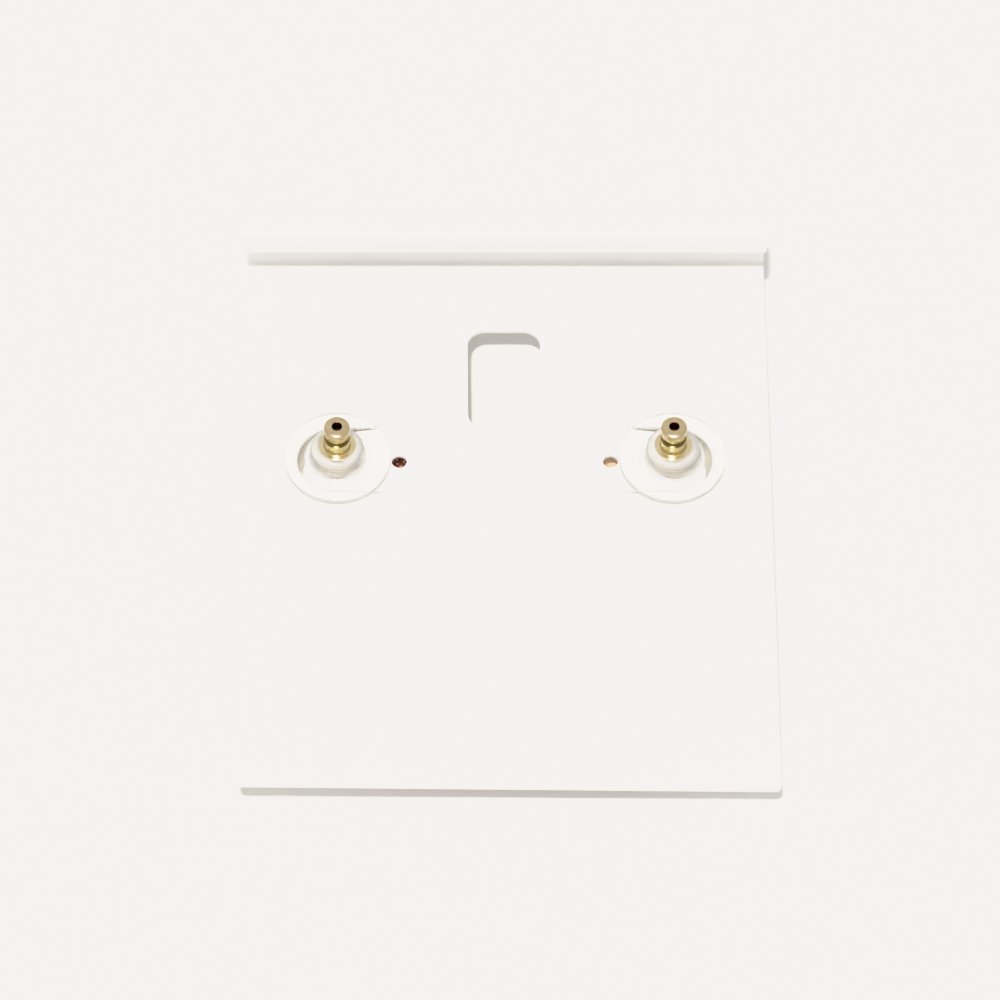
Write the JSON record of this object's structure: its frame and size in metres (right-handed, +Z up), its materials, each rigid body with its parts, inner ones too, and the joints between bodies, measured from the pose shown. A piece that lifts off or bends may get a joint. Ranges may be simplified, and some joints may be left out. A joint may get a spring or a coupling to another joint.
{
  "type": "pair of stud earrings on a display card",
  "caption": "Stud earrings with bullet clutches and clear discs, fastened through a hooked plastic display card that lies face down on the earring heads.",
  "frame": {"origin": "on the surface that the earring heads rest on, below the centre of the card's outline", "axes": "+X across the card to the right as seen in the picture, +Y along the card towards its hook, +Z up, out of the card's back"},
  "size_m": [0.0508, 0.06, 0.0137],
  "materials": {
    "card_plastic": "white styrene sheet, satin",
    "head_metal": "polished copper-coloured plating",
    "clear_plastic": "clear moulded plastic",
    "bullet_metal": "polished gold-coloured plating"
  },
  "bodies": {
    "card": {"display_card": "card_plastic", "stud_left": "head_metal", "stud_right": "head_metal"},
    "clutch_left": {"clear_disc_left": "clear_plastic", "bullet_left": "bullet_metal"},
    "clutch_right": {"clear_disc_right": "clear_plastic", "bullet_right": "bullet_metal"}
  },
  "joints": [
    {"name": "clutch_left_pull", "type": "slide", "parent": "card", "child": "clutch_left", "axis": [0, 0, 1], "range_m": [0, 0.0075]},
    {"name": "clutch_right_pull", "type": "slide", "parent": "card", "child": "clutch_right", "axis": [0, 0, 1], "range_m": [0, 0.0075]}
  ]
}
